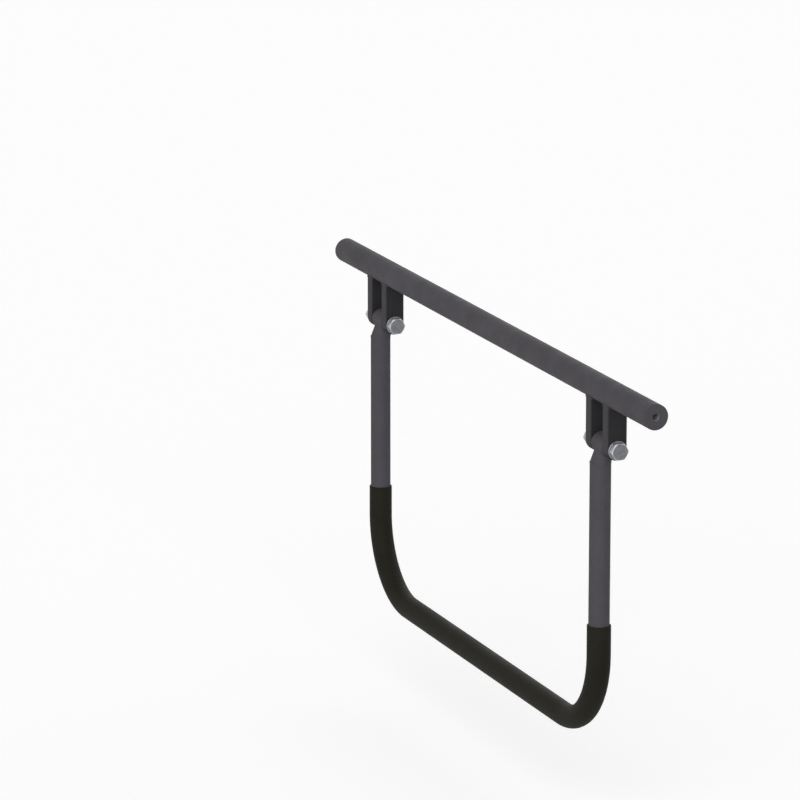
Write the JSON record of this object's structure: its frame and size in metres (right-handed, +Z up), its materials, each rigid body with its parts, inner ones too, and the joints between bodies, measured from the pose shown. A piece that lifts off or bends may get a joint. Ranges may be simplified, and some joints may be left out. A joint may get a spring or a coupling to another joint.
{
  "type": "fold-away bicycle wall rack",
  "caption": "U-shaped tube bar with a soft dark sleeve, hinged on clevis ears under a round cross rail; swings from hanging flat, through horizontal, to raised.",
  "frame": {"origin": "on the cross rail's axis at the middle of its length", "axes": "+X along the rail, -Y out from the wall, +Z up, with the bar hanging straight down"},
  "size_m": [0.84, 0.032, 0.392],
  "materials": {
    "grey_powder_coat": "mid-grey powder coat with a faint violet cast, satin, fine orange peel",
    "dark_powder_coat": "dark grey powder coat, satin, fine orange peel",
    "sleeve_rubber": "matt near-black rubber with a warm cast",
    "bright_zinc": "bright zinc plate, slightly blue",
    "bush_nylon": "black nylon, matt",
    "ring_nylon": "natural off-white nylon"
  },
  "bodies": {
    "rail_assembly": {"cross_rail": "grey_powder_coat", "rail_end_plug_left": "grey_powder_coat", "rail_end_plug_right": "grey_powder_coat", "left_outer_ear": "dark_powder_coat", "left_inner_ear": "dark_powder_coat", "right_outer_ear": "dark_powder_coat", "right_inner_ear": "dark_powder_coat", "pivot_bolt_left": "bright_zinc", "pivot_bolt_right": "bright_zinc", "head_washer_left": "bright_zinc", "head_washer_right": "bright_zinc", "nut_washer_left": "bright_zinc", "nut_washer_right": "bright_zinc", "lock_nut_left": "bright_zinc", "lock_nut_right": "bright_zinc", "nut_ring_left": "ring_nylon", "nut_ring_right": "ring_nylon"},
    "folding_bar": {"swing_bar": "grey_powder_coat", "grip_sleeve": "sleeve_rubber", "pivot_eye_left": "grey_powder_coat", "pivot_eye_right": "grey_powder_coat", "left_outer_bush": "bush_nylon", "left_inner_bush": "bush_nylon", "right_outer_bush": "bush_nylon", "right_inner_bush": "bush_nylon"}
  },
  "joints": [
    {"name": "bar_fold", "type": "hinge", "parent": "rail_assembly", "child": "folding_bar", "pos_m": [0, 0, -0.056], "axis": [-1, 0, 0], "range_deg": [0, 145]}
  ]
}
